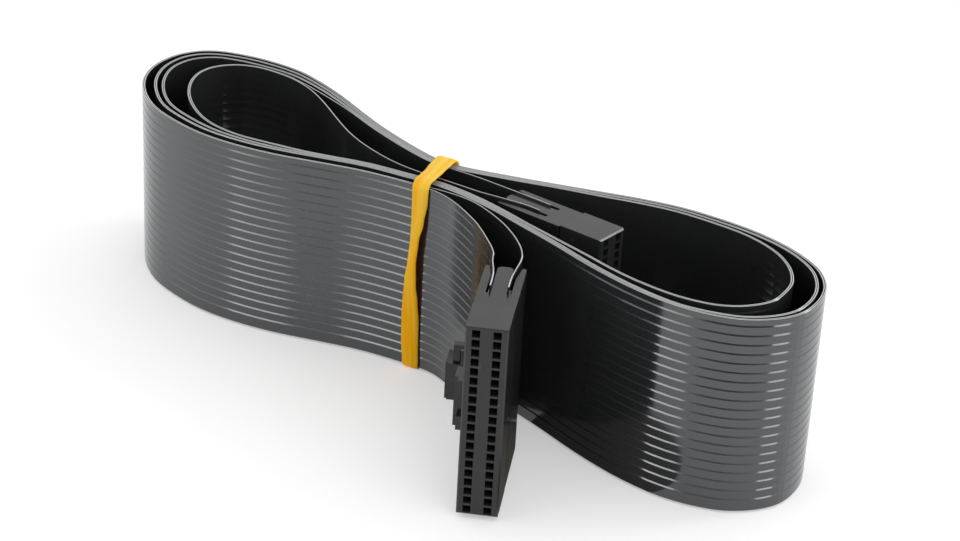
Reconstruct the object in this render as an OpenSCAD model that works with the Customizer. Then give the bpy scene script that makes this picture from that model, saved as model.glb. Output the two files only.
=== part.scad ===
// Ribbon cable with two flat ribbons, wound on edge into a flat hank, held by a rubber band.
// Both ends of each ribbon run into a two-row socket connector.
// Millimetres, +Z up. The hank rests on the underside of the rubber band.

/* [Hank] */
// Overall length of the wound hank
hank_l = 216; // [170:1:270]
// Air left between one layer of ribbon and the next
lay_gap = 0.06; // [0.02:0.01:0.2]

/* [Ribbon] */
// Width of each ribbon, which is the height of the hank
ribbon_w = 53.34; // [40:0.01:70]
// Thickness of each ribbon
ribbon_t = 0.4; // [0.3:0.01:0.5]
// Conductors in each ribbon, and contacts in each row
rows = 20; // [10:1:25]

/* [Rubber band] */
// Thickness of the rubber
band_t = 0.6; // [0.4:0.05:1]
// Width of the band along the upper half of its near side and over the top
band_w = 4.6; // [3:0.1:6]
// Width of the band where it lies spread, at the bottom and on the far side
band_wide = 5.3; // [4:0.1:8]
// Width of the band where it turns over on its near side
band_waist = 2.6; // [1.5:0.1:4]
// Height of that turn above the floor, as a share of the ribbon width
waist_share = 0.6; // [0.4:0.01:0.75]
// Air between the rubber and the outer ribbons
band_clear = 0.03; // [0.01:0.01:0.1]

/* [Connector] */
// Thickness of a connector, across its two rows
plug_w = 10.3; // [9:0.1:13]
// Depth of the front socket housing
front_d = 13; // [11:0.5:18]
// Depth of the rear shell
rear_d = 20.2; // [16:0.1:26]
// How far the ribbon edges stand out past a connector that lies level with them
edge_out = 0.9; // [0.3:0.01:1.2]
// How far the middle of the first connector lies below the middle of its ribbons
plug_drop = 0.25; // [0:0.05:0.5]
// How far the middle of the second connector, which is the other way up, lies above it
plug_rise = 0.6; // [0:0.05:0.8]
// How much lower the rear shell is than the front housing, at the top and at the bottom
step = 0.4; // [0:0.05:0.8]
// How far the middle prong passes the outer ones
prong_out = 0; // [0:0.1:2]
// Distance between the two rows of contacts, and between the two cable slots
row_gap = 5.08; // [4:0.01:6]
// Width of each cable slot
slot_w = 1.2; // [1:0.05:1.6]
// Depth of each cable slot, from the back of the outer prongs
slot_d = 13.8; // [11:0.1:15]
// How far each slot opens outwards at its mouth
mouth = 1; // [0.6:0.1:1.2]
// Air between a ribbon and the middle prong
slot_clear = 0.1; // [0.05:0.01:0.2]
// Length of ribbon left clear of the bottom of its slot
end_clear = 0.6; // [0.2:0.1:2]
// Bevel on the edges of the housings
bevel = 0.4; // [0.2:0.05:0.8]
// Depth of the socket windows
window_d = 9; // [7:0.5:10]
// Air between pieces that are seated together
seat_clear = 0.02; // [0.01:0.01:0.05]

/* [Contacts] */
// Outside size of a contact across its square
contact_w = 1.6; // [1.2:0.05:1.8]
// Square opening in a contact
contact_bore = 1; // [0.7:0.05:1.2]
// How far the contacts sit behind the mating face
contact_set = 3; // [0.5:0.1:4]
// Air between a contact and the walls of its window
contact_gap = 0.17; // [0.05:0.01:0.3]
// Thickness of a contact's tail
tail_t = 0.3; // [0.2:0.05:0.4]
// Height of a contact's tail
tail_h = 0.6; // [0.4:0.05:0.8]
// How far the tails lap over the end of the ribbon
tail_lap = 3; // [1:0.5:6]

/* [Key and side latch] */
// Height of the key on the side of the front housing
key_h = 13.5; // [8:0.5:20]
// How far the key stands out
key_out = 2.7; // [1:0.1:5]
// How far the middle of the key lies above the middle of the connector
key_up = 1.9; // [0:0.1:6]
// Length of the two tabs on the front of the key
tab_l = 2; // [1:0.5:3]
// Length of the key, front to back
key_l = 7; // [4:0.5:10]
// Height of the block of the side latch
latch_h = 10.1; // [6:0.1:14]
// How far the latch stands out
latch_out = 6.6; // [3:0.1:8]
// Length of the latch, front to back
latch_l = 7; // [4:0.5:9]
// How far the middle of the latch lies above the middle of the connector
latch_up = 0.5; // [0:0.1:6]
// Height of the eye on top of the latch
eye_h = 4.9; // [3:0.1:8]
// Width of the hole through the eye
eye_hole = 1.4; // [0.8:0.1:2]

/* [Hidden] */
// Length of hank the route points below were laid out for
ROUTE_L = 216;
K = hank_l / ROUTE_L;
lay = ribbon_t + lay_gap;
base_z = band_t;
top_z = base_z + ribbon_w;
mid_z = base_z + ribbon_w / 2;
pitch = ribbon_w / (rows + 1);
plug_h = ribbon_w - 2 * edge_out;
plug_d = front_d + rear_d;
window = contact_w + 2 * contact_gap;
slot_tip = plug_d - slot_d;
ribbon_end = slot_tip + end_clear;
slot_y = row_gap / 2;
lie_y = slot_y - slot_w / 2 + slot_clear + ribbon_t / 2;
tail_y = lie_y + ribbon_t / 2 + seat_clear;
STEP = 1.7;

// How much thicker three pairs of ribbon are than the ones the route points were laid out for
grown = 6 * (lay - K * 0.46);
// The second connector stands off the far ribbons by its side latch
plug_2_y = 26.45 - plug_w / 2 - latch_out - 6 * (lay - 0.46);
plug_2_move = K * (plug_2_y - 14.7);

// Connectors: middle of the slot mouths [x, y], direction from mating face to cable, roll
PLUGS = [[35.4, -19.8, 111.2, 0], [17.2, plug_2_y, 170.3, 180]];

// Left lobe, outermost pair, from the near side of the band to the far side:
// x, y, then the extra air before the second pair and before the third
LEFT = [
  [-10.4, 5.15, 1.8, 0], [-21.4, 4.35, 2.1, 0], [-33.4, 2.05, 2.1, 0], [-45.4, -0.35, 2.1, 0.2],
  [-57.4, -1.35, 1.9, 0.4], [-69.4, -0.55, 1.8, 0.7], [-79.4, 2.15, 1.8, 0.9], [-89.4, 6.55, 1.9, 1],
  [-98.2, 13.95, 2.3, 1.1], [-104.1, 22.35, 2.3, 1.3], [-106.9, 33.35, 1.8, 1.4],
  [-105.5, 41.85, 1.4, 1.8], [-102.3, 46.75, 1.4, 1.8], [-97.6, 49.85, 1.4, 1.4],
  [-91.7, 51.35, 1.1, 1.4], [-79.4, 52.05, 0.9, 1.2], [-70.7, 50.85, 0.7, 0.8],
  [-61.8, 47.55, 0.4, 0.5], [-52.2, 42.95, 0.2, 0.3], [-42, 37.05, 0, 0.1], [-32.4, 31.75, 0, 0],
  [-23.4, 27.55, 0, 0], [-16.4, 24.6, 0, 0], [-12, 23, 0, 0], [-8, 21.95, 0, 0],
  [-3.6, 21.55, 0, 0]];

// Right lobe, outermost pair, from the far side of the band to the near side
RIGHT = [
  [1.2, 21.95, 0, 0], [6, 22.8, 0, 0], [15, 24.55, 0, 0], [25.6, 26.85, 0, 0],
  [36.6, 29.35, 0.2, 0.3], [46.6, 31.55, 0.3, 0.4], [57.6, 33.05, 0.4, 0.5], [68.6, 32.75, 0.6, 0.6],
  [80.6, 30.95, 0.5, 1], [93.6, 25.95, 0.4, 3], [101.6, 19.95, 0.8, 4.7], [105.9, 12.85, 1, 5.3],
  [107.4, 4.85, 0.8, 6], [106.1, -3.85, 0.7, 5.9], [103, -8.55, 0.6, 5.5], [99.3, -11.85, 0.5, 5],
  [95.3, -14.15, 0.4, 4.4], [90.2, -15.65, 0.3, 3.5], [80.6, -16.55, 0, 2.8], [69.6, -14.95, 0, 2],
  [56.6, -11.05, 0, 1.4], [49.6, -8.35, 0, 1.3], [42.6, -5.35, 0, 0.7], [35.3, -2.45, 0, 0.3],
  [28.3, 0.15, 0, 0.1], [20.9, 3.05, 0, 0], [13.5, 5.45, 0, 0], [7, 7.05, 0, 0], [0.2, 8.1, 0, 0]];

// Fourth left lobe, which swings free of the others between its two ends
FREE = [
  [-41.4, 5.6], [-47.5, 5.1], [-53.7, 4.6], [-58.6, 4.3], [-64, 4.8], [-69.8, 6.2], [-75.1, 8.7],
  [-79.9, 12.1], [-84.1, 16], [-87.9, 20.5], [-90.7, 25], [-92.6, 29.6], [-93.4, 34.1],
  [-92.8, 38.3], [-90.8, 41.8], [-87.9, 44.4], [-84.3, 46], [-80.2, 46.6], [-75.6, 46.4],
  [-70.9, 45.7], [-67, 44.5]];
NEAR_TIES = 3;
FAR_TIES = 7;

// Ends of the ribbons inside the first connector [depth, side], then on to the band
OUTER_SLOT = [[20, 2.24], [23.4, 2.24], [25.6, 2.3], [29.4, 2.7], [33.4, 3.45]];
OUTER_LEAD = [
  [30.3, -17.2], [27.9, -14.2], [25.2, -11.4], [22.4, -8.6], [19.4, -5.8], [15.6, -2.9], [11.2, 0.1],
  [7, 2.5], [3.2, 4.1], [-0.6, 4.88], [-5.2, 4.94]];
INNER_SLOT = [[20, -2.24], [23.4, -2.24], [26, -2.36], [29.6, -2.78], [33.6, -3.3]];
INNER_LEAD = [
  [37.1, -14.9], [35.3, -11.9], [32.8, -8.9], [29.8, -5.9], [26.5, -3.1], [22.7, -0.4], [18.8, 1.9],
  [14.8, 3.9], [10.6, 5.3], [5.6, 5.95], [0.6, 6], [-4.4, 5.65]];

// From the last lobe on to the second connector
OUTER_JOIN = [[-53.9, 39.7]];
OUTER_TAIL = [[0.4, 18.95], [6, 18.55], [11.9, 17.7]];
OUTER_STOP = [[33, 2.2], [27.5, 2.24], [21.4, 2.24]];
INNER_TAIL = [
  [-61.8, 41.9], [-56.6, 38.6], [-50.6, 34], [-43.4, 28.1], [-37.2, 23.4], [-31.7, 20],
  [-26.8, 17.6], [-22.6, 15.8], [-18.8, 14.5], [-15, 13.5], [-8.5, 12.5], [-1.8, 12.05], [4.1, 11.6],
  [10, 11.1]];
INNER_STOP = [[33.6, -3.6], [29.6, -2.86], [26.4, -2.34], [23.8, -2.24], [21.4, -2.24]];

function heading(p, i) = let (
  a = p[max(i - 1, 0)],
  b = p[min(i + 1, len(p) - 1)],
  d = [b[0] - a[0], b[1] - a[1]]) d / norm(d);

// Point i of route p moved inwards by a distance
function inward(p, i, d) = let (t = heading(p, i)) [p[i][0] + t[1] * d, p[i][1] - t[0] * d];

// Distance inwards of ribbon s (-1 outer, 1 inner) in pair k
function offset_in(q, k, s) =
  2 * k * lay + K * ((k > 0 ? q[2] : 0) + (k > 1 ? q[3] : 0)) + s * lay / 2;

function scaled(p) = [for (q = p) [K * q[0], K * q[1], q[2], q[3]]];
function lobe(p, k, s) = let (r = scaled(p)) [for (i = [0 : len(r) - 1]) inward(r, i, offset_in(r[i], k, s))];
function free_lobe(s) = let (r = scaled(FREE))
  [for (i = [0 : len(r) - 1]) inward(r, i, grown + s * lay / 2)];
function first(p, n) = [for (i = [0 : n - 1]) p[i]];
function last(p, n) = [for (i = [len(p) - n : len(p) - 1]) p[i]];
function plain(p) = [for (q = p) [K * q[0], K * q[1]]];

// Points that follow the third pair of ribbons at first and the second connector at last
function tail(p) = let (r = plain(p), e = max(1, len(r) - 1))
  [for (i = [0 : len(r) - 1]) inward(r, i, grown * (1 - i / e)) + [0, plug_2_move * i / e]];

// A point inside a connector, given by its depth and side, in the hank's plan
function in_plug(n, q) = let (
  g = PLUGS[n],
  d = q[0] - 33.2 + (q[0] > 20 ? 0 : ribbon_end - plug_d + 13.2),
  y = (n == 0 ? 1 : -1) * (q[1] + sign(q[1]) * (lie_y - 2.24)))
  [K * g[0] + d * cos(g[2]) - y * sin(g[2]), K * g[1] + d * sin(g[2]) + y * cos(g[2])];
function slot_run(n, p) = [for (q = p) in_plug(n, q)];

function turns(s) = concat(
  lobe(LEFT, 0, s), lobe(RIGHT, 0, s),
  lobe(LEFT, 1, s), lobe(RIGHT, 1, s),
  lobe(LEFT, 2, s), lobe(RIGHT, 2, s),
  first(lobe(LEFT, 3, s), NEAR_TIES), free_lobe(s));
OUTER_ROUTE = concat(
  slot_run(0, OUTER_SLOT), plain(OUTER_LEAD), turns(-1),
  plain(OUTER_JOIN), last(lobe(LEFT, 3, -1), FAR_TIES), tail(OUTER_TAIL),
  slot_run(1, OUTER_STOP));
INNER_ROUTE = concat(
  slot_run(0, INNER_SLOT), plain(INNER_LEAD), turns(1),
  tail(INNER_TAIL), slot_run(1, INNER_STOP));

// Direction of the smooth curve at point i, weighted for uneven spacing
function tangent(p, i) = let (
  e = len(p) - 1,
  a = p[i] - p[max(i - 1, 0)],
  b = p[min(i + 1, e)] - p[i],
  ha = norm(a),
  hb = norm(b))
  i == 0 ? b / hb : i == e ? a / ha : (a * hb / ha + b * ha / hb) / (ha + hb);

// Smooth curve through every point of a route, in steps no longer than STEP
function smooth(p) = let (e = len(p) - 1) concat(
  [for (i = [0 : e - 1])
    let (h = norm(p[i + 1] - p[i]), n = ceil(h / STEP), u = tangent(p, i), v = tangent(p, i + 1))
    for (j = [0 : n - 1]) let (t = j / n)
      (2 * pow(t, 3) - 3 * t * t + 1) * p[i] + (pow(t, 3) - 2 * t * t + t) * h * u
      + (3 * t * t - 2 * pow(t, 3)) * p[i + 1] + (pow(t, 3) - t * t) * h * v],
  [p[e]]);

// Flat strip on edge along a route
module strip(route) {
  line = smooth(route);
  e = len(line) - 1;
  one_side = [for (i = [0 : e]) inward(line, i, -ribbon_t / 2)];
  other_side = [for (i = [0 : e]) inward(line, e - i, ribbon_t / 2)];
  translate([0, 0, base_z])
    linear_extrude(ribbon_w)
      polygon(concat(one_side, other_side));
}

module ribbon_outer() {
  color([0.2, 0.2, 0.21]) strip(OUTER_ROUTE);
}

module ribbon_inner() {
  color([0.16, 0.16, 0.17]) strip(INNER_ROUTE);
}

// Inner faces of the band, which lie against the outer ribbons
BAND_X = -5.1;
near_y = K * 4.9 - ribbon_t / 2 - band_clear;
far_y = K * 21.95 + lay / 2 + ribbon_t / 2 + band_clear;
waist_z = base_z + ribbon_w * waist_share;
NEAR_FACE = [
  [BAND_X - 2.7, -1], [BAND_X - 2.7, waist_z - 9], [BAND_X - band_waist / 2 - 0.2, waist_z - 1],
  [BAND_X - band_waist / 2 + 0.3, waist_z + 2], [BAND_X - band_w / 2 + 1.8, waist_z + 13],
  [BAND_X - band_w / 2 + 1.8, top_z + 2], [BAND_X + band_w / 2 + 1.8, top_z + 2],
  [BAND_X + band_w / 2 + 1.8, waist_z + 13], [BAND_X + band_waist / 2 + 0.3, waist_z + 2],
  [BAND_X + band_waist / 2 - 0.2, waist_z - 1], [BAND_X + band_wide - 2.7, waist_z - 9],
  [BAND_X + band_wide - 2.7, -1]];

// Loop of rubber seen along the hank: rounded outside corners, square inside ones
module band_section() {
  y0 = near_y - band_t;
  y1 = far_y + band_t;
  z0 = base_z - band_t;
  z1 = top_z + band_clear + band_t;
  r = band_t + 0.3;
  difference() {
    union() {
      translate([y0 + r, z0]) square([y1 - y0 - 2 * r, z1 - z0]);
      translate([y0, z0 + r]) square([y1 - y0, z1 - z0 - 2 * r]);
      for (y = [y0 + r, y1 - r], z = [z0 + r, z1 - r]) translate([y, z]) circle(r, $fn = 48);
    }
    translate([near_y, base_z]) square([far_y - near_y, ribbon_w + band_clear]);
  }
}

// Side walls of the band: an outline seen from the near side, and a plain one seen from above
module band_outline() {
  mid_y = (near_y + far_y) / 2;
  translate([0, mid_y, 0])
    rotate([90, 0, 0]) linear_extrude(mid_y - near_y + 4) polygon(NEAR_FACE);
  translate([0, 0, -1])
    linear_extrude(top_z + 3) polygon([
      [BAND_X - band_wide / 2, mid_y], [BAND_X + band_wide / 2, mid_y],
      [BAND_X + band_wide / 2, far_y + 3], [BAND_X - band_wide / 2, far_y + 3]]);
}

module rubber_band() {
  color([0.85, 0.62, 0.3])
    intersection() {
      translate([BAND_X - 10, 0, 0])
        rotate([90, 0, 90]) linear_extrude(20) band_section();
      band_outline();
    }
}

// Local frame of a connector: +X from the mating face to the cable, origin mid-height
module at_plug(n) {
  g = PLUGS[n];
  translate([K * g[0], K * g[1], mid_z])
    rotate([0, 0, g[2]]) rotate([g[3], 0, 0])
      translate([-plug_d, 0, n == 0 ? -plug_drop : -plug_rise]) children();
}

// Block with bevelled edges, from x = a to x = b
module bevelled(a, b, w, h) {
  intersection() {
    linear_extrude(h, center = true) polygon([
      [a + bevel, -w / 2], [b - bevel, -w / 2], [b, -w / 2 + bevel], [b, w / 2 - bevel],
      [b - bevel, w / 2], [a + bevel, w / 2], [a, w / 2 - bevel], [a, -w / 2 + bevel]]);
    rotate([90, 0, 0]) linear_extrude(w, center = true) polygon([
      [a + bevel, -h / 2], [b - bevel, -h / 2], [b, -h / 2 + bevel], [b, h / 2 - bevel],
      [b - bevel, h / 2], [a + bevel, h / 2], [a, h / 2 - bevel], [a, -h / 2 + bevel]]);
  }
}

function row_z(i) = (i - (rows - 1) / 2) * pitch;

module passages(a, b) {
  for (i = [0 : rows - 1], y = [-slot_y, slot_y])
    translate([(a + b) / 2, y, row_z(i)]) cube([b - a, 0.9, tail_h + 0.2], center = true);
}

// Key: a block on the side of the housing, with two lower tabs on its front
module key() {
  x0 = (front_d - key_l) / 2 + 1.2;
  y0 = plug_w / 2 - 0.5;
  z0 = key_up - key_h / 2;
  translate([x0 + tab_l, y0, z0]) cube([key_l - tab_l, key_out + 0.5, key_h]);
  for (z = [z0, z0 + key_h * 0.73])
    translate([x0, y0, z]) cube([tab_l + 0.1, key_out * 0.65 + 0.5, key_h * 0.27]);
}

module socket_housing(n) {
  color([0.22, 0.22, 0.22]) at_plug(n) difference() {
    union() {
      bevelled(0, front_d, plug_w, plug_h);
      key();
    }
    for (i = [0 : rows - 1], y = [-slot_y, slot_y])
      translate([window_d / 2 - 0.5, y, row_z(i)]) cube([window_d + 1, window, window], center = true);
    passages(window_d - 1, front_d + 1);
  }
}

// Cable slot with a mouth that opens outwards, and the corner of the middle prong beside it
module slot(side) {
  a = side * (slot_y - slot_w / 2);
  b = side * (slot_y + slot_w / 2);
  c = side * (slot_y + slot_w / 2 + mouth);
  end = plug_d + prong_out;
  polygon([[slot_tip, a], [slot_tip, b], [plug_d - 5.2, b], [plug_d + 0.1, c], [end + 1, c],
    [end + 1, a]]);
  translate([slot_tip, side * slot_y]) circle(slot_w / 2, $fn = 32);
  polygon([[end - 0.8, a], [end + 1, a], [end + 1, a - side * 0.8], [end, a - side * 0.8]]);
}

module shell_outline() {
  w = plug_w / 2;
  union() {
    polygon([[front_d + seat_clear, -w], [plug_d - 0.5, -w], [plug_d, -w + 0.5], [plug_d, w - 0.5],
      [plug_d - 0.5, w], [front_d + seat_clear, w]]);
    translate([plug_d - 1, -slot_y]) square([1 + prong_out, 2 * slot_y]);
  }
}

module rear_shell(n) {
  color([0.2, 0.2, 0.2]) at_plug(n) difference() {
    linear_extrude(plug_h - 2 * step, center = true) difference() {
      shell_outline();
      slot(1);
      slot(-1);
    }
    passages(front_d - 1, slot_tip + 0.5);
  }
}

// One contact: a box open to the front, a slit down its side, and a tail to the ribbon
module contact(side) {
  body = window_d - seat_clear - contact_set;
  difference() {
    translate([contact_set, side * slot_y - contact_w / 2, -contact_w / 2])
      cube([body, contact_w, contact_w]);
    translate([contact_set - 1, side * slot_y - contact_bore / 2, -contact_bore / 2])
      cube([body, contact_bore, contact_bore]);
    translate([contact_set - 1, side * slot_y - contact_w, -0.15]) cube([body - 1, 2 * contact_w, 0.3]);
  }
  translate([window_d - 0.5, side > 0 ? tail_y : -tail_y - tail_t, -tail_h / 2])
    cube([ribbon_end + tail_lap - window_d + 0.5, tail_t, tail_h]);
}

module contact_row(n, side) {
  color([0.8, 0.72, 0.5]) at_plug(n)
    for (i = [0 : rows - 1]) translate([0, 0, row_z(i)]) contact(side);
}

// Side latch: a block on the side of the rear shell with an eye standing on it
module side_latch(n) {
  x0 = plug_d - 15.7;
  y0 = plug_w / 2 + seat_clear;
  eye_y = y0 + latch_out * 0.2;
  eye_w = latch_out * 0.53;
  up = n == 0 ? 1 : -1;
  color([0.24, 0.24, 0.24]) at_plug(n) translate([0, 0, up * latch_up]) difference() {
    union() {
      translate([x0, y0, -latch_h / 2]) cube([latch_l, latch_out, latch_h]);
      translate([x0 + 0.8, eye_y, up > 0 ? latch_h / 2 - 0.1 : -latch_h / 2 - eye_h])
        cube([2, eye_w, eye_h + 0.1]);
    }
    translate([x0, eye_y + 0.5, up > 0 ? latch_h / 2 : -latch_h / 2 - eye_h + 1.1])
      cube([4, eye_hole, eye_h - 1.1]);
    translate([x0 - 1, y0 + latch_out - 0.6, -latch_h / 2 - 1]) cube([1.6, 1, latch_h + 2]);
  }
}

ribbon_outer();
ribbon_inner();
rubber_band();
socket_housing(0);  // socket_housing_1
rear_shell(0);  // rear_shell_1
contact_row(0, 1);  // contacts_left_1
contact_row(0, -1);  // contacts_right_1
side_latch(0);  // side_latch_1
socket_housing(1);  // socket_housing_2
rear_shell(1);  // rear_shell_2
contact_row(1, 1);  // contacts_left_2
contact_row(1, -1);  // contacts_right_2
side_latch(1);  // side_latch_2
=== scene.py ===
"""Ribbon cable: two flat ribbons wound on edge, a rubber band and two socket connectors.

The ribbons and the band are shaped here and stand for the plain CAD pieces of the same places.
The connectors are the CAD pieces themselves, with their finishes. Shapes are laid out in
millimetres, as in part.scad, and MM turns them into metres.
"""
import math
from math import cos, pi, radians, sin

import bmesh
import bpy
from mathutils import Matrix, Vector


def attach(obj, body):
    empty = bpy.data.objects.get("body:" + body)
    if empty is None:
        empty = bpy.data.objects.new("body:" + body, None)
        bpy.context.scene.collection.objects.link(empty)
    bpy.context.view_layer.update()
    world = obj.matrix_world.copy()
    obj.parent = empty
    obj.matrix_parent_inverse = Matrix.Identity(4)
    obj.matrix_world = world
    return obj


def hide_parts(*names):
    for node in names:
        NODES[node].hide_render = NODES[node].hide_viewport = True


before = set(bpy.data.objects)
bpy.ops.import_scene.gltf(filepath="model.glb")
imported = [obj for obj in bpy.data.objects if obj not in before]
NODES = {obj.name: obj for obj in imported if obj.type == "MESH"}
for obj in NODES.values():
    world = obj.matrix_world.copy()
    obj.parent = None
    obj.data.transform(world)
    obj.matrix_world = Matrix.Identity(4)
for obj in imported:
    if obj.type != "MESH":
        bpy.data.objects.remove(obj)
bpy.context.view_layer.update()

MM = 0.001

# ---------------------------------------------------------------- camera

CAMERA_AT = Vector((282.0, -497.25, 326.84)) * MM
LOOKS_AT = Vector((-16.9, 65.05, 0)) * MM
ROLL = radians(3.18)
LENS = 92.47
SENSOR = 36


def make_camera():
    """Camera in front on the right, looking down at the hank, rolled a little."""
    ahead = (LOOKS_AT - CAMERA_AT).normalized()
    level = ahead.cross(Vector((0, 0, 1))).normalized()
    up = level.cross(ahead)
    right = cos(ROLL) * level + sin(ROLL) * up
    top = cos(ROLL) * up - sin(ROLL) * level
    turn = Matrix((right, top, -ahead)).transposed().to_4x4()
    data = bpy.data.cameras.new("camera")
    data.lens = LENS
    data.sensor_width = SENSOR
    data.clip_start = 0.01
    camera = bpy.data.objects.new("camera", data)
    camera.matrix_world = Matrix.Translation(CAMERA_AT) @ turn
    bpy.context.scene.collection.objects.link(camera)
    bpy.context.scene.camera = camera


make_camera()

# ---------------------------------------------------------------- ribbons

RIBBON_W = 53.34
RIBBON_T = 0.4
LAY_GAP = 0.06
CONDUCTORS = 20
BAND_T = 0.6
FRONT_D = 13
REAR_D = 20.2

LAY = RIBBON_T + LAY_GAP
PITCH = RIBBON_W / (CONDUCTORS + 1)
BASE_Z = BAND_T
MID_Z = BASE_Z + RIBBON_W / 2
TOP_Z = BASE_Z + RIBBON_W
PLUG_D = FRONT_D + REAR_D

# Connectors: middle of the slot mouths, direction from mating face to cable, roll
PLUGS = [(35.4, -19.8, 111.2, 0), (17.2, 14.7, 170.3, 180)]

# Left lobe, outermost pair, from the near side of the band to the far side:
# x, y, then the extra air before the second pair and before the third
LEFT = [
    (-10.4, 5.15, 1.8, 0), (-21.4, 4.35, 2.1, 0), (-33.4, 2.05, 2.1, 0), (-45.4, -0.35, 2.1, 0.2),
    (-57.4, -1.35, 1.9, 0.4), (-69.4, -0.55, 1.8, 0.7), (-79.4, 2.15, 1.8, 0.9), (-89.4, 6.55, 1.9, 1),
    (-98.2, 13.95, 2.3, 1.1), (-104.1, 22.35, 2.3, 1.3), (-106.9, 33.35, 1.8, 1.4),
    (-105.5, 41.85, 1.4, 1.8), (-102.3, 46.75, 1.4, 1.8), (-97.6, 49.85, 1.4, 1.4),
    (-91.7, 51.35, 1.1, 1.4), (-79.4, 52.05, 0.9, 1.2), (-70.7, 50.85, 0.7, 0.8),
    (-61.8, 47.55, 0.4, 0.5), (-52.2, 42.95, 0.2, 0.3), (-42, 37.05, 0, 0.1), (-32.4, 31.75, 0, 0),
    (-23.4, 27.55, 0, 0), (-16.4, 24.6, 0, 0), (-12, 23, 0, 0), (-8, 21.95, 0, 0), (-3.6, 21.55, 0, 0),
]
# Right lobe, from the far side of the band to the near side
RIGHT = [
    (1.2, 21.95, 0, 0), (6, 22.8, 0, 0), (15, 24.55, 0, 0), (25.6, 26.85, 0, 0),
    (36.6, 29.35, 0.2, 0.3), (46.6, 31.55, 0.3, 0.4), (57.6, 33.05, 0.4, 0.5), (68.6, 32.75, 0.6, 0.6),
    (80.6, 30.95, 0.5, 1), (93.6, 25.95, 0.4, 3), (101.6, 19.95, 0.8, 4.7), (105.9, 12.85, 1, 5.3),
    (107.4, 4.85, 0.8, 6), (106.1, -3.85, 0.7, 5.9), (103, -8.55, 0.6, 5.5), (99.3, -11.85, 0.5, 5),
    (95.3, -14.15, 0.4, 4.4), (90.2, -15.65, 0.3, 3.5), (80.6, -16.55, 0, 2.8), (69.6, -14.95, 0, 2),
    (56.6, -11.05, 0, 1.4), (49.6, -8.35, 0, 1.3), (42.6, -5.35, 0, 0.7), (35.3, -2.45, 0, 0.3),
    (28.3, 0.15, 0, 0.1), (20.9, 3.05, 0, 0), (13.5, 5.45, 0, 0), (7, 7.05, 0, 0), (0.2, 8.1, 0, 0),
]
# Fourth left lobe, free of the others between its two ends
FREE = [
    (-41.4, 5.6), (-47.5, 5.1), (-53.7, 4.6), (-58.6, 4.3), (-64, 4.8), (-69.8, 6.2), (-75.1, 8.7),
    (-79.9, 12.1), (-84.1, 16), (-87.9, 20.5), (-90.7, 25), (-92.6, 29.6), (-93.4, 34.1),
    (-92.8, 38.3), (-90.8, 41.8), (-87.9, 44.4), (-84.3, 46), (-80.2, 46.6), (-75.6, 46.4),
    (-70.9, 45.7), (-67, 44.5),
]
# Points of the fourth left lobe that still lie in the stack, on its near and far side
NEAR_TIES = 3
FAR_TIES = 7
# Runs in a connector's slots: distance from the mating face, distance from the middle.
# A lead goes from the first connector to the band, and a tail from the last turn to the second.
OUTER_SLOT = [(20, 2.24), (23.4, 2.24), (25.6, 2.3), (29.4, 2.7), (33.4, 3.45)]
OUTER_LEAD = [
    (30.3, -17.2), (27.9, -14.2), (25.2, -11.4), (22.4, -8.6), (19.4, -5.8), (15.6, -2.9), (11.2, 0.1),
    (7, 2.5), (3.2, 4.1), (-0.6, 4.88), (-5.2, 4.94),
]
INNER_SLOT = [(20, -2.24), (23.4, -2.24), (26, -2.36), (29.6, -2.78), (33.6, -3.3)]
INNER_LEAD = [
    (37.1, -14.9), (35.3, -11.9), (32.8, -8.9), (29.8, -5.9), (26.5, -3.1), (22.7, -0.4), (18.8, 1.9),
    (14.8, 3.9), (10.6, 5.3), (5.6, 5.95), (0.6, 6), (-4.4, 5.65),
]
OUTER_JOIN = [(-53.9, 39.7)]
OUTER_TAIL = [(0.4, 18.95), (6, 18.55), (11.9, 17.7)]
OUTER_STOP = [(33, 2.2), (27.5, 2.24), (21.4, 2.24)]
INNER_TAIL = [
    (-61.8, 41.9), (-56.6, 38.6), (-50.6, 34), (-43.4, 28.1), (-37.2, 23.4), (-31.7, 20),
    (-26.8, 17.6), (-22.6, 15.8), (-18.8, 14.5), (-15, 13.5), (-8.5, 12.5), (-1.8, 12.05),
    (4.1, 11.6), (10, 11.1),
]
INNER_STOP = [(33.6, -3.6), (29.6, -2.86), (26.4, -2.34), (23.8, -2.24), (21.4, -2.24)]


def plan(points):
    """Listed points as vectors in plan, without what else a point holds."""
    return [Vector(p[:2]) for p in points]


def inward(points, i, distance):
    """Point i of a route moved to the right of its direction of travel."""
    step = (points[min(i + 1, len(points) - 1)] - points[max(i - 1, 0)]).normalized()
    return points[i] + distance * Vector((step.y, -step.x))


def lobe(stations, pair, side):
    """One lobe of ribbon side (-1 outer, 1 inner) in a pair counted from the outside."""
    line = plan(stations)
    out = []
    for i, (_, _, second, third) in enumerate(stations):
        air = (second if pair > 0 else 0) + (third if pair > 1 else 0)
        out.append(inward(line, i, 2 * pair * LAY + air + side * LAY / 2))
    return out


def in_plug(n, points):
    """Points given in a connector's own measures, in plan."""
    x, y, angle, roll = PLUGS[n]
    along = Vector((cos(radians(angle)), sin(radians(angle))))
    across = Vector((-along.y, along.x)) * cos(radians(roll))
    return [Vector((x, y)) + along * (d - PLUG_D) + across * s for d, s in points]


def turns(side):
    """Three turns round the hank and the free lobe that ends them."""
    line = []
    for pair in range(3):
        line += lobe(LEFT, pair, side) + lobe(RIGHT, pair, side)
    line += lobe(LEFT, 3, side)[:NEAR_TIES]
    free = plan(FREE)
    return line + [inward(free, i, side * LAY / 2) for i in range(len(free))]


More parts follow.
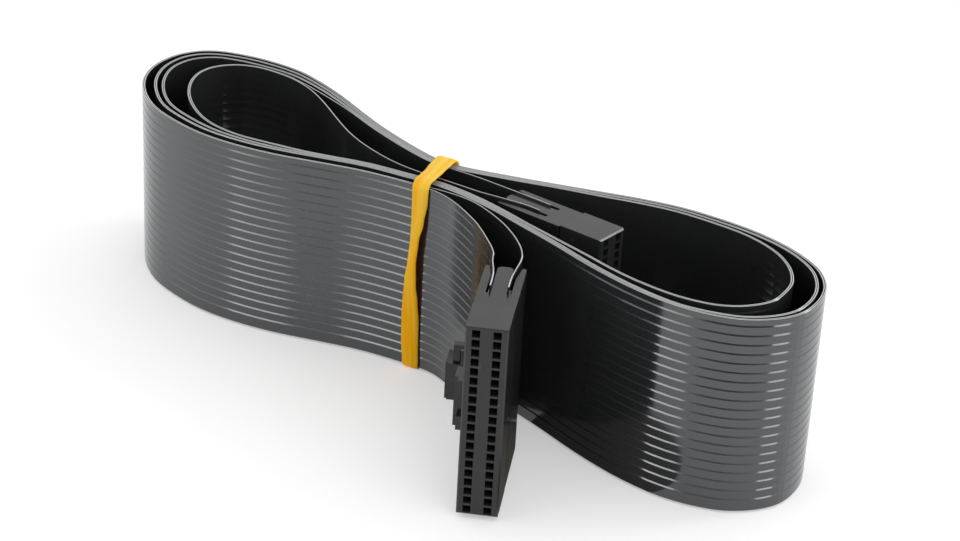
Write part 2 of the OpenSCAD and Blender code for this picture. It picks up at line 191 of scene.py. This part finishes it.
OUTER_ROUTE = (
    in_plug(0, OUTER_SLOT) + plan(OUTER_LEAD) + turns(-1) + plan(OUTER_JOIN)
    + lobe(LEFT, 3, -1)[-FAR_TIES:] + plan(OUTER_TAIL) + in_plug(1, OUTER_STOP)
)
INNER_ROUTE = (
    in_plug(0, INNER_SLOT) + plan(INNER_LEAD) + turns(1) + plan(INNER_TAIL) + in_plug(1, INNER_STOP)
)


def tangent(line, i):
    """Direction of the smooth curve at point i, weighted for uneven spacing."""
    last = len(line) - 1
    before, after = line[i] - line[max(i - 1, 0)], line[min(i + 1, last)] - line[i]
    if i in (0, last):
        return (after if i == 0 else before).normalized()
    a, b = before.length, after.length
    return (before * b / a + after * a / b) / (a + b)


def smooth(line, bend=radians(5), longest=5.0):
    """Points along the smooth curve, closer together where it bends."""
    out = []
    for i in range(len(line) - 1):
        p, q = line[i], line[i + 1]
        u, v = tangent(line, i), tangent(line, i + 1)
        h = (q - p).length
        turn = u.angle(v) + 2 * u.angle(q - p)
        steps = max(1, math.ceil(h / longest), math.ceil(turn / bend / 2))
        for j in range(steps):
            t = j / steps
            out.append(
                (2 * t**3 - 3 * t * t + 1) * p + (t**3 - 2 * t * t + t) * h * u
                + (3 * t * t - 2 * t**3) * q + (t**3 - t * t) * h * v
            )
    return out + [line[-1]]


# Section of a ribbon: flat strips with a groove between them, deep on the outside and faint inside.
# A groove has its reach below and above its deepest line, and its depth.
HALF = RIBBON_T / 2
FIRST_GROOVE = 3.5
OUT_GROOVE = (0.45, 0.04, 0.18)
IN_GROOVE = (0.32, 0.32, 0.02)
CORNER = 0.13
# Faces of a ribbon that meet at more than this, in degrees, keep a sharp edge
SHARP = 6


def one_side(groove):
    """Points up one side of the section, each with its height and its distance to that side."""
    below, above, deep = groove
    low, high = -RIBBON_W / 2, RIBBON_W / 2
    side = [(low, HALF - CORNER), (low + CORNER, HALF)]
    for g in range(CONDUCTORS):
        at = low + FIRST_GROOVE + g * PITCH
        side += [(at - below, HALF), (at, HALF - deep), (at + above, HALF)]
    return side + [(high - CORNER, HALF), (high, HALF - CORNER)]


def ribbon_section():
    """Once round the section: up the outside and down the inside."""
    return one_side(OUT_GROOVE) + [(u, -v) for u, v in reversed(one_side(IN_GROOVE))]


def settle(bm, name):
    """Turns a finished bmesh into a piece in the scene."""
    mesh = bpy.data.meshes.new(name)
    bm.to_mesh(mesh)
    bm.free()
    piece = bpy.data.objects.new(name, mesh)
    bpy.context.scene.collection.objects.link(piece)
    return piece


# Points nearer than this, in metres, are one point
SEAM = 1e-8


def sweep(name, rings, closed=False, sharp=180):
    """Closed skin through rings of points: a grid wrapped into a tube, capped unless it closes.

    The attribute "along" holds the distance gone, and "around" the place in the ring, 1 to 0 to 1.
    """
    around, along = len(rings[0]), len(rings)
    bm = bmesh.new()
    far = bm.verts.layers.float.new("along")
    turned = bm.verts.layers.float.new("around")
    grid = bmesh.ops.create_grid(bm, x_segments=around, y_segments=along if closed else along - 1)
    gone = [0.0]
    for a, b in zip(rings, rings[1:]):
        gone.append(gone[-1] + (b[0] - a[0]).length)
    for i, vert in enumerate(grid["verts"]):
        row, column = divmod(i, around + 1)
        vert.co = rings[row % along][column % around]
        vert[far] = gone[row % along]
        vert[turned] = abs(1 - 2 * column / around)
    bmesh.ops.remove_doubles(bm, verts=bm.verts[:], dist=SEAM)
    if not closed:
        bmesh.ops.holes_fill(bm, edges=[e for e in bm.edges if e.is_boundary], sides=0)
    bmesh.ops.recalc_face_normals(bm, faces=bm.faces[:])
    for face in bm.faces:
        face.smooth = True
    piece = settle(bm, name)
    piece.data.set_sharp_from_angle(angle=radians(sharp))
    return piece


def make_ribbon(name, node, route):
    """One ribbon on edge along its route, which stands for its CAD node."""
    line = smooth(route)
    section = ribbon_section()
    last = len(line) - 1
    rings = []
    for i, spot in enumerate(line):
        along = (line[min(i + 1, last)] - line[max(i - 1, 0)]).normalized()
        across = Vector((-along.y, along.x))
        rings.append([Vector((*(spot + v * across), MID_Z + u)) * MM for u, v in section])
    piece = sweep(name, rings, sharp=SHARP)
    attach(piece, "root")
    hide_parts(node)
    return piece


# ---------------------------------------------------------------- rubber band

# How far the middle of the rubber swells past its edges on the upright runs
BULGE = 0.35
# Outer faces of the stack that the band goes round, and the air in front of the near one
NEAR_Y = 4.67
FAR_Y = 22.41
NEAR_AIR = 0.1
# Radius of the turns under the hank and over it, and how far the band stands off its top edges
LOW_CORNER = 0.9
HIGH_CORNER = 2.2
STANDS_OFF = 1.2
TURN_STEPS = 8
RUN_STEP = 1.6
SECTION_POINTS = 24
# How square the section is across its width and its thickness: 1 is an ellipse, 0 a box
SQUARE_W = 0.6
SQUARE_T = 0.5
# Way round the band, up its near side and over: share of the way between two corners, sideways
# place, width and roll in degrees
NEAR_RISE = [
    (0.0, -4.3, 4.9, 0), (0.14, -4.72, 5.3, 0), (0.26, -4.82, 5.3, 0), (0.37, -4.9, 4.9, 6),
    (0.48, -4.95, 4.3, 16), (0.6, -4.6, 3.5, 24), (0.72, -4.1, 3.4, 22), (0.83, -3.6, 4.1, 8),
    (0.94, -3.3, 4.7, 0), (1.0, -3.3, 4.8, 0),
]
TOP_RUN = [(0.3, -3.7, 4.9, 0), (0.65, -4.5, 5.3, 0), (1.0, -5.1, 5.7, 0)]
FAR_FALL = [(0.3, -5.1, 5.5, 0), (1.0, -5.1, 5.3, 0)]
UNDER_RUN = [(1.0, -4.3, 4.9, 0)]


def band_stations():
    """Once round the band: point of its middle line, outward direction, place, width and roll."""
    y0, y1 = NEAR_Y - NEAR_AIR - BAND_T / 2, FAR_Y + BAND_T / 2
    z0, z1 = BASE_Z - BAND_T / 2, TOP_Z + STANDS_OFF + BAND_T / 2
    low, high = LOW_CORNER, HIGH_CORNER
    sides = [
        ((y0, z0 + low), (y0, z1 - high), (-1, 0), low, NEAR_RISE),
        ((y0 + high, z1), (y1 - high, z1), (0, 1), high, TOP_RUN),
        ((y1, z1 - high), (y1, z0 + low), (1, 0), high, FAR_FALL),
        ((y1 - low, z0), (y0 + low, z0), (0, -1), low, UNDER_RUN),
    ]
    out = []
    lies = UNDER_RUN[-1][1:]
    for k, (start, end, normal, corner, run) in enumerate(sides):
        start, end, normal = Vector(start), Vector(end), Vector(normal)
        before = Vector(sides[k - 1][2])
        for j in range(1, TURN_STEPS):
            turn = j * pi / 2 / TURN_STEPS
            outward = before * cos(turn) + normal * sin(turn)
            out.append((start + (outward - normal) * corner, outward, *lies))
        marks = [(0.0, *lies)] + run
        for (s0, *a), (s1, *b) in zip(marks, marks[1:]):
            steps = max(1, round((end - start).length * (s1 - s0) / RUN_STEP))
            for j in range(steps if s1 > s0 else 0):
                t = j / steps
                ease = t * t * (3 - 2 * t)
                mix = [p + (q - p) * ease for p, q in zip(a, b)]
                out.append((start.lerp(end, s0 + (s1 - s0) * t), normal, *mix))
        lies = marks[-1][1:]
        out.append((end, normal, *lies))
    return out


def make_band():
    """The rubber band: a flat rounded section carried once round, rolling over on its near side."""
    rings = []
    for spot, outward, x, width, roll in band_stations():
        bulge = BULGE * (1 - abs(outward.y))
        a = radians(roll)
        side = Vector((1, 0, 0))
        out_dir = Vector((0, outward.x, outward.y))
        w_dir = side * cos(a) + out_dir * sin(a)
        t_dir = out_dir * cos(a) - side * sin(a)
        centre = Vector((x, spot.x, spot.y)) + out_dir * (width / 2 * sin(a))
        ring = []
        for j in range(SECTION_POINTS):
            u, v = cos(2 * pi * j / SECTION_POINTS), sin(2 * pi * j / SECTION_POINTS)
            wide = math.copysign(abs(u) ** SQUARE_W, u)
            rise = math.copysign(abs(v) ** SQUARE_T, v) * BAND_T / 2
            if 0 < j < SECTION_POINTS / 2:
                rise += bulge * (1 - wide * wide)
            ring.append((centre + w_dir * (wide * width / 2) + t_dir * rise) * MM)
        rings.append(ring)
    piece = sweep("rubber_band_loop", rings, closed=True)
    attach(piece, "root")
    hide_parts("rubber_band")
    return piece


ribbons = [
    make_ribbon("outer_ribbon", "ribbon_outer", OUTER_ROUTE),
    make_ribbon("inner_ribbon", "ribbon_inner", INNER_ROUTE),
]
band = make_band()

# ---------------------------------------------------------------- materials


class Nodes:
    """Shorthand for laying out one node tree."""

    def __init__(self, tree):
        self.tree = tree

    def link(self, out, into):
        self.tree.links.new(out, into)

    def feed(self, socket, value):
        """Sets a socket from another node's output or to a constant."""
        if isinstance(value, bpy.types.NodeSocket):
            self.link(value, socket)
        else:
            socket.default_value = value

    def add(self, kind, **values):
        """A node with its settings, and its inputs with an underscore for each space."""
        node = self.tree.nodes.new(kind)
        for key, value in values.items():
            if hasattr(node, key):
                setattr(node, key, value)
            else:
                self.feed(node.inputs[key.replace("_", " ")], value)
        return node

    def math(self, kind, a, b=0.0):
        """One sum on two numbers."""
        node = self.tree.nodes.new("ShaderNodeMath")
        node.operation = kind
        for socket, value in zip(node.inputs, (a, b)):
            self.feed(socket, value)
        return node.outputs[0]

    def vector(self, kind, a, b=None):
        """One sum on a vector and, where it takes one, a constant vector."""
        node = self.tree.nodes.new("ShaderNodeVectorMath")
        node.operation = kind
        self.link(a, node.inputs[0])
        if b is not None:
            node.inputs[1].default_value = b
        return node.outputs["Value" if kind == "DOT_PRODUCT" else "Vector"]

    def span(self, value, low, high, to_low=0.0, to_high=1.0):
        """A value carried from one range to another, and held at its ends."""
        node = self.tree.nodes.new("ShaderNodeMapRange")
        node.clamp = True
        self.link(value, node.inputs[0])
        for i, number in enumerate((low, high, to_low, to_high)):
            node.inputs[i + 1].default_value = number
        return node.outputs[0]

    def mix(self, share, a, b):
        """Colour a where the share is 0 and colour b where it is 1."""
        node = self.tree.nodes.new("ShaderNodeMix")
        node.data_type = "RGBA"
        for socket, value in zip((node.inputs[0], node.inputs[6], node.inputs[7]), (share, a, b)):
            self.feed(socket, value)
        return node.outputs[2]

    def height(self):
        """Height in the piece's own frame."""
        place = self.add("ShaderNodeTexCoord").outputs["Object"]
        return self.add("ShaderNodeSeparateXYZ", Vector=place).outputs["Z"]

    def carried(self, name):
        """A value that the mesh carries at its points."""
        return self.add("ShaderNodeAttribute", attribute_name=name).outputs["Fac"]

    def relief(self, shader, height, strength, depth):
        """Fine relief on a shader."""
        bump = self.add("ShaderNodeBump", Strength=strength, Distance=depth, Height=height)
        self.link(bump.outputs[0], shader.inputs["Normal"])


# Range that most of a noise texture's values lie in
NOISE_LOW = 0.3
NOISE_HIGH = 0.7


def new_group(name, inputs, outputs):
    """A node group with its own inputs, set to their usual values, and outputs."""
    tree = bpy.data.node_groups.new(name, "ShaderNodeTree")
    for label, kind, value in inputs:
        socket = tree.interface.new_socket(label, in_out="INPUT", socket_type=kind)
        socket.default_value = value
    for label, kind in outputs:
        tree.interface.new_socket(label, in_out="OUTPUT", socket_type=kind)
    nodes = Nodes(tree)
    return tree, nodes, nodes.add("NodeGroupInput"), nodes.add("NodeGroupOutput")


def mould_grain_group():
    """Fine moulded texture with soft mottling: a height, a mottle and sparse scuffs."""
    tree, n, given, out = new_group(
        "mould_grain",
        [("Grain Size", "NodeSocketFloat", 2500.0), ("Mottle Size", "NodeSocketFloat", 120.0)],
        [("Height", "NodeSocketFloat"), ("Mottle", "NodeSocketFloat"), ("Scuff", "NodeSocketFloat")],
    )
    place = n.add("ShaderNodeTexCoord").outputs["Object"]
    fine = n.add("ShaderNodeTexNoise", Vector=place, Scale=given.outputs[0], Detail=3.0)
    broad = n.add("ShaderNodeTexNoise", Vector=place, Scale=given.outputs[1], Detail=4.0)
    streak = n.add("ShaderNodeTexNoise", Vector=place, Scale=340.0, Detail=5.0, Roughness=0.7)
    n.link(fine.outputs["Fac"], out.inputs["Height"])
    n.link(broad.outputs["Fac"], out.inputs["Mottle"])
    n.link(n.span(streak.outputs["Fac"], 0.62, 0.75), out.inputs["Scuff"])
    return tree


MOULD_GRAIN = mould_grain_group()


def empty_material(name):
    """A material without nodes, and the shorthand for laying them out."""
    material = bpy.data.materials.new(name)
    material.use_nodes = True
    material.node_tree.nodes.clear()
    return material, Nodes(material.node_tree)


def new_material(name):
    """A material with one principled shader on its output."""
    material, n = empty_material(name)
    shader = n.add("ShaderNodeBsdfPrincipled")
    out = n.add("ShaderNodeOutputMaterial")
    n.link(shader.outputs[0], out.inputs[0])
    return material, n, shader


def group_in(n, tree, **values):
    """A node group placed in a material, with its own values for the inputs."""
    node = n.add("ShaderNodeGroup", node_tree=tree)
    for key, value in values.items():
        node.inputs[key.replace("_", " ")].default_value = value
    return node


FILM_DARK = (0.013, 0.0135, 0.0135, 1)
FILM_LIGHT = (0.023, 0.024, 0.025, 1)
CUT_DARK = (0.38, 0.39, 0.38, 1)
CUT_LIGHT = (0.58, 0.58, 0.56, 1)
# How far in from a ribbon's edges the look of the cut starts, and where it is full
CUT_STARTS = 0.05
CUT_FULL = 0.02


def film_material():
    """Glossy black film with drawn streaks and paler, duller cut edges."""
    material, n, shader = new_material("black_film")
    z = n.height()
    along = n.carried("along")
    from_mid = n.math("ABSOLUTE", n.math("SUBTRACT", z, MID_Z * MM))
    edge = n.span(from_mid, (RIBBON_W / 2 - CUT_STARTS) * MM, (RIBBON_W / 2 - CUT_FULL) * MM)
    run = n.add("ShaderNodeCombineXYZ", X=along, Y=z)
    streaks = n.add("ShaderNodeMapping", Vector=run.outputs[0], Scale=(14.0, 900.0, 1.0))
    drawn = n.add("ShaderNodeTexNoise", Vector=streaks.outputs[0], Scale=1.0, Detail=4.0)
    smear = n.add("ShaderNodeTexNoise", Vector=run.outputs[0], Scale=45.0, Detail=5.0)
    face = n.mix(smear.outputs["Fac"], FILM_DARK, FILM_LIGHT)
    pull = n.add("ShaderNodeCombineXYZ", X=n.math("MULTIPLY", along, 9.0))
    worn = n.add("ShaderNodeTexNoise", Vector=pull.outputs[0], Scale=1.0, Detail=3.0)
    cut = n.mix(n.span(worn.outputs["Fac"], 0.35, 0.65), CUT_DARK, CUT_LIGHT)
    n.link(n.mix(edge, face, cut), shader.inputs["Base Color"])
    gloss = n.span(smear.outputs["Fac"], NOISE_LOW, NOISE_HIGH, 0.10, 0.17)
    rough = n.math("ADD", gloss, n.math("MULTIPLY", edge, 0.4))
    n.link(rough, shader.inputs["Roughness"])
    shader.inputs["IOR"].default_value = 1.85
    shader.inputs["Specular Tint"].default_value = (0.93, 0.96, 1.0, 1)
    n.relief(shader, drawn.outputs["Fac"], 0.2, 0.00001)
    return material


AMBER_LOW = (0.95, 0.42, 0.0, 1)
AMBER_HIGH = (0.90, 0.49, 0.03, 1)
AMBER_PALE = (0.96, 0.64, 0.14, 1)
AMBER_DEEP = (0.93, 0.32, 0.0, 1)


def rubber_material():
    """Amber rubber that lets some light through, streaked along its length, deeper low down."""
    material, n, shader = new_material("amber_rubber")
    grain = group_in(n, MOULD_GRAIN, Grain_Size=1800.0, Mottle_Size=260.0)
    z = n.height()
    along = n.math("MULTIPLY", n.carried("along"), 45.0)
    around = n.math("MULTIPLY", n.carried("around"), 9.0)
    run = n.add("ShaderNodeCombineXYZ", X=along, Y=around)
    streak = n.add("ShaderNodeTexNoise", Vector=run.outputs[0], Scale=1.0, Detail=3.0)
    base = n.mix(n.span(z, 0.02, 0.055), AMBER_LOW, AMBER_HIGH)
    pale = n.math("MULTIPLY", n.span(streak.outputs["Fac"], 0.5, 0.68), 0.55)
    deep = n.math("MULTIPLY", n.span(streak.outputs["Fac"], 0.48, 0.34), 0.5)
    base = n.mix(pale, base, AMBER_PALE)
    n.link(n.mix(deep, base, AMBER_DEEP), shader.inputs["Base Color"])
    rough = n.span(grain.outputs["Mottle"], NOISE_LOW, NOISE_HIGH, 0.4, 0.5)
    n.link(rough, shader.inputs["Roughness"])
    shader.inputs["Specular IOR Level"].default_value = 0.2
    shader.inputs["Specular Tint"].default_value = (1.0, 0.8, 0.4, 1)
    shader.inputs["Subsurface Weight"].default_value = 0.45
    shader.inputs["Subsurface Radius"].default_value = (1.0, 0.55, 0.08)
    shader.inputs["Subsurface Scale"].default_value = 0.0025
    n.relief(shader, grain.outputs["Height"], 0.3, 0.00005)
    return material


HOUSING_DARK = (0.016, 0.0165, 0.017, 1)
HOUSING_LIGHT = (0.024, 0.0245, 0.025, 1)
SHELL_DARK = (0.012, 0.0125, 0.013, 1)
SHELL_LIGHT = (0.019, 0.0195, 0.020, 1)
SCUFFED = (0.3, 0.3, 0.3, 1)
# Plating colours held dark as painted shade for the contacts deep in the windows and slots; the mottle
# between the two is random
SHADED_PLATING_DARK = (0.12, 0.11, 0.095, 1)
SHADED_PLATING_LIGHT = (0.2, 0.185, 0.16, 1)


def plastic_material(name, dark, light, rough_low, rough_high):
    """Moulded plastic with fine grain, soft mottling and pale scuffs."""
    material, n, shader = new_material(name)
    grain = group_in(n, MOULD_GRAIN, Grain_Size=2600.0, Mottle_Size=150.0)
    base = n.mix(grain.outputs["Mottle"], dark, light)
    scuffed = n.mix(n.math("MULTIPLY", grain.outputs["Scuff"], 0.12), base, SCUFFED)
    n.link(scuffed, shader.inputs["Base Color"])
    rough = n.span(grain.outputs["Mottle"], NOISE_LOW, NOISE_HIGH, rough_low, rough_high)
    n.link(rough, shader.inputs["Roughness"])
    shader.inputs["IOR"].default_value = 1.4
    n.relief(shader, grain.outputs["Height"], 0.35, 0.00003)
    return material


def metal_material():
    """Plated contacts, slightly dull, their colour painted dark throughout as painted shade for where
    they sit deep in the windows and slots.
    """
    material, n, shader = new_material("shaded_plated_contact")
    grain = group_in(n, MOULD_GRAIN, Grain_Size=3000.0, Mottle_Size=400.0)
    base = n.mix(grain.outputs["Mottle"], SHADED_PLATING_DARK, SHADED_PLATING_LIGHT)
    n.link(base, shader.inputs["Base Color"])
    shader.inputs["Metallic"].default_value = 1.0
    rough = n.span(grain.outputs["Mottle"], NOISE_LOW, NOISE_HIGH, 0.25, 0.4)
    n.link(rough, shader.inputs["Roughness"])
    return material


FILM = film_material()
RUBBER = rubber_material()
HOUSING = plastic_material("housing_plastic", HOUSING_DARK, HOUSING_LIGHT, 0.12, 0.2)
SHELL = plastic_material("shell_plastic", SHELL_DARK, SHELL_LIGHT, 0.14, 0.22)
CONTACT = metal_material()


def finish(piece, material):
    """Gives a piece made here its one material."""
    piece.data.materials.clear()
    piece.data.materials.append(material)


def finish_node(name, material):
    """Gives a CAD node its finish."""
    for slot in NODES[name].material_slots:
        slot.material = material


for ribbon in ribbons:
    finish(ribbon, FILM)
finish(band, RUBBER)
for plug in (1, 2):
    finish_node(f"socket_housing_{plug}", HOUSING)
    finish_node(f"rear_shell_{plug}", SHELL)
    finish_node(f"side_latch_{plug}", SHELL)
    finish_node(f"contacts_left_{plug}", CONTACT)
    finish_node(f"contacts_right_{plug}", CONTACT)

# ---------------------------------------------------------------- floor, background and lights


FLOOR_REACH = 3.0
FLOOR_PAINT = (0.72, 0.72, 0.72, 1)
# Light that the floor adds where it is seen, straight or in the gloss
FLOOR_GLOW = 0.34


def make_floor():
    """Pale floor that takes soft shadows and still looks nearly white."""
    bm = bmesh.new()
    bmesh.ops.create_grid(bm, x_segments=1, y_segments=1, size=FLOOR_REACH)
    floor = settle(bm, "floor")
    material, n = empty_material("pale_floor")
    path = n.add("ShaderNodeLightPath")
    seen = n.math("MAXIMUM", path.outputs["Is Camera Ray"], path.outputs["Is Glossy Ray"])
    seen = n.math("MAXIMUM", seen, path.outputs["Is Transmission Ray"])
    paint = n.add("ShaderNodeBsdfDiffuse", Color=FLOOR_PAINT)
    glow = n.add("ShaderNodeEmission", Color=(1, 1, 1, 1))
    n.link(n.math("MULTIPLY", seen, FLOOR_GLOW), glow.inputs["Strength"])
    both = n.add("ShaderNodeAddShader")
    n.link(paint.outputs[0], both.inputs[0])
    n.link(glow.outputs[0], both.inputs[1])
    out = n.add("ShaderNodeOutputMaterial")
    n.link(both.outputs[0], out.inputs[0])
    finish(floor, material)


# Dark oval card on the floor by the first connector, seen only in reflections: painted shade for the
# floor's shadow between that connector and the right lobe. Place, turn, radius and its share each way
SHADE_CARD_AT = (0.056, -0.024, 0.0004)
SHADE_CARD_TURN = radians(-38)
SHADE_CARD_RADIUS = 0.03
SHADE_CARD_OVAL = (0.95, 0.7, 1, 1)
SHADE_CARD_COLOUR = (0.2, 0.19, 0.17, 1)


def make_shade_card():
    """Card that shows only in the gloss of what stands round it: painted shade on the floor as the
    ribbons and the connector mirror it.
    """
    bm = bmesh.new()
    bmesh.ops.create_circle(bm, cap_ends=True, segments=32, radius=SHADE_CARD_RADIUS)
    turned = Matrix.Rotation(SHADE_CARD_TURN, 4, "Z") @ Matrix.Diagonal(SHADE_CARD_OVAL)
    bmesh.ops.transform(bm, verts=bm.verts, matrix=Matrix.Translation(SHADE_CARD_AT) @ turned)
    card = settle(bm, "painted_shade_card")
    material, n, shader = new_material("painted_shade_card")
    shader.inputs["Base Color"].default_value = SHADE_CARD_COLOUR
    shader.inputs["Roughness"].default_value = 0.9
    finish(card, material)
    card.visible_camera = card.visible_diffuse = card.visible_shadow = False


# Heights in the room are the upward part of a direction: 0 is level and 1 straight up.
# White of the room below and above the height where it falls off
LOW_WHITE = 1.35
HIGH_WHITE = 1.0
WHITE_FALLS = (0.38, 0.48)
# Dim walls: middle, half width and softness in degrees, heights between which the foot ends
WALLS = [((0.574, -0.819, 0), 40.5, 3.5, 0.19, 0.25), ((0, -1, 0), 24, 2.5, 0.284, 0.317)]
WALL_DIM = 0.05
WALL_FOOT = 0.74
# Heights between which the ceiling takes over from the walls
CEILING = (0.7, 0.85)


def make_world():
    """White studio with dim walls on the front right and, higher up, straight in front."""
    world = bpy.data.worlds.new("studio")
    bpy.context.scene.world = world
    world.use_nodes = True
    world.node_tree.nodes.clear()
    n = Nodes(world.node_tree)
    way = n.add("ShaderNodeTexCoord").outputs["Generated"]
    up = n.add("ShaderNodeSeparateXYZ", Vector=way).outputs["Z"]
    flat = n.vector("MULTIPLY", way, (1, 1, 0))
    level = n.vector("NORMALIZE", flat)
    room = n.span(up, *WHITE_FALLS, LOW_WHITE, HIGH_WHITE)
    for middle, wide, soft, low, high in WALLS:
        facing = n.vector("DOT_PRODUCT", level, middle)
        outside, inside = cos(radians(wide + soft)), cos(radians(wide - soft))
        wall = n.span(facing, outside, inside, 1.0, WALL_DIM)
        foot = n.span(up, low, high, WALL_FOOT, 0.0)
        room = n.math("MULTIPLY", room, n.math("MAXIMUM", wall, foot))
    room = n.math("MAXIMUM", room, n.span(up, *CEILING))
    path = n.add("ShaderNodeLightPath")
    strength = n.math("MAXIMUM", room, path.outputs["Is Camera Ray"])
    sky = n.add("ShaderNodeBackground", Color=(1, 1, 1, 1))
    n.link(strength, sky.inputs["Strength"])
    out = n.add("ShaderNodeOutputWorld")
    n.link(sky.outputs[0], out.inputs[0])


LAMP_AWAY = 1.5


def softbox(name, left, right, low, high, radiance):
    """Soft light between two angles left of straight in front, and two heights, in degrees."""
    a, e = radians((left + right) / 2), radians((low + high) / 2)
    way = Vector((-sin(a) * cos(e), -cos(a) * cos(e), sin(e)))
    data = bpy.data.lights.new(name, "AREA")
    data.shape = "RECTANGLE"
    data.size = 2 * LAMP_AWAY * cos(e) * math.tan(radians(left - right) / 2)
    data.size_y = 2 * LAMP_AWAY * math.tan(radians(high - low) / 2)
    data.energy = radiance * pi * data.size * data.size_y
    lamp = bpy.data.objects.new(name, data)
    lamp.location = way * LAMP_AWAY
    lamp.rotation_euler = (-way).to_track_quat("-Z", "Y").to_euler()
    bpy.context.scene.collection.objects.link(lamp)
    return lamp


# Lamps: name, left and right edge, lower and upper edge, radiance
SEEN_IN_GLOSS = [
    ("front_left_low", 33, 10, 2, 13.5, 3.4),
    ("front_left_middle", 24, 10, 13.5, 16.2, 1.9),
    ("front_left_high", 34, 24, 13.5, 24, 1.9),
    ("right", -69, -90, 1, 20, 3.4),
    ("back_low", -166, -180, 3, 12, 3.0),
    ("back_right", -128, -142, 26, 40, 8.0),
]
FILLS = [
    ("fill_front", -15, -50, 28, 52, 1.2),
    ("fill_right", -40, -75, 15, 40, 2.4),
]

make_floor()
make_shade_card()
make_world()
for lamp in SEEN_IN_GLOSS:
    softbox(*lamp)
for lamp in FILLS:
    softbox(*lamp).visible_glossy = False

bpy.context.scene.view_settings.view_transform = "Standard"
